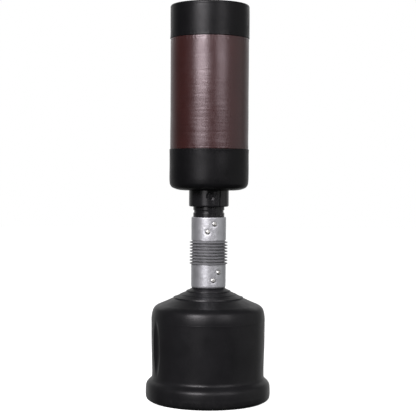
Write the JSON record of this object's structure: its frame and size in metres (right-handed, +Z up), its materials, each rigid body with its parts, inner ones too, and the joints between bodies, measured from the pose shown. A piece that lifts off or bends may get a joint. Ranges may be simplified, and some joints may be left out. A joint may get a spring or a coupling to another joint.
{
  "type": "free-standing punching bag",
  "caption": "Free-standing punching bag: a padded vinyl bag on a sprung neck with a ribbed gaiter, rising from a round tank that is filled with water.",
  "frame": {"origin": "on the floor, at the centre of the round base", "axes": "+Z up along the neck and the bag, -Y towards the front, +X to the right seen from the front"},
  "size_m": [0.489, 0.489, 1.55],
  "materials": {
    "black_plastic": "satin",
    "ballast": "gloss",
    "cap_plastic": "matte",
    "seal_rubber": "matte",
    "silver_paint": "satin",
    "cup_steel": "satin",
    "bright_bolt": "polished",
    "spring_steel": "satin",
    "grey_rubber": "satin",
    "core_plastic": "matte",
    "board": "matte",
    "foam": "matte",
    "black_vinyl": "satin",
    "brown_vinyl": "satin"
  },
  "bodies": {
    "base": {"base_tank": "black_plastic", "water_ballast": "ballast", "lower_sleeve": "silver_paint", "lower_spring_cup": "cup_steel", "lower_bolt_1": "bright_bolt", "lower_bolt_2": "bright_bolt", "lower_bolt_3": "bright_bolt", "lower_bolt_4": "bright_bolt", "lower_nut_1": "cup_steel", "lower_nut_2": "cup_steel", "lower_nut_3": "cup_steel", "lower_nut_4": "cup_steel"},
    "cap_seal": {"fill_cap_seal": "seal_rubber"},
    "fill_cap": {"fill_cap": "cap_plastic"},
    "spring_unit": {"coil_spring": "spring_steel", "bellows": "grey_rubber"},
    "head": {"upper_sleeve": "silver_paint", "upper_spring_cup": "cup_steel", "post": "black_plastic", "upper_bolt_1": "bright_bolt", "upper_bolt_2": "bright_bolt", "upper_bolt_3": "bright_bolt", "upper_bolt_4": "bright_bolt", "upper_nut_1": "cup_steel", "upper_nut_2": "cup_steel", "upper_nut_3": "cup_steel", "upper_nut_4": "cup_steel"},
    "bag": {"collar": "black_plastic", "collar_screw_1": "cup_steel", "collar_screw_2": "cup_steel", "collar_screw_3": "cup_steel", "collar_screw_4": "cup_steel", "core_tube": "core_plastic", "core_top_cap": "core_plastic", "bag_bottom_plate": "board", "foam_body": "foam", "foam_top_pad": "foam", "cover_bottom": "black_vinyl", "cover_middle": "brown_vinyl", "cover_top": "black_vinyl"}
  },
  "joints": [
    {"name": "sway_front_back", "type": "hinge", "parent": "base", "child": "spring_unit", "pos_m": [0, 0, 0.58], "axis": [1, 0, 0], "range_deg": [-20, 20], "stiffness_Nm_per_rad": 400, "deforming": ["coil_spring", "bellows"]},
    {"name": "sway_left_right", "type": "hinge", "parent": "spring_unit", "child": "head", "pos_m": [0, 0, 0.58], "axis": [0, 1, 0], "range_deg": [-20, 20], "stiffness_Nm_per_rad": 400, "deforming": ["coil_spring", "bellows"]},
    {"name": "bag_twist", "type": "hinge", "parent": "head", "child": "bag", "pos_m": [0, 0, 0.775], "axis": [0, 0, 1], "range_deg": [-126, 0]},
    {"name": "fill_cap_lift", "type": "slide", "parent": "base", "child": "cap_seal", "axis": [0, 0, 1], "range_m": [0, 0.012]},
    {"name": "fill_cap_turn", "type": "hinge", "parent": "cap_seal", "child": "fill_cap", "pos_m": [0, 0.15, 0.423], "axis": [0, 0, 1], "range_deg": [0, 1080]}
  ],
  "couplings": [
    {"joint": "fill_cap_lift", "follows": "fill_cap_turn", "m_per_rad": 0.00063662}
  ]
}
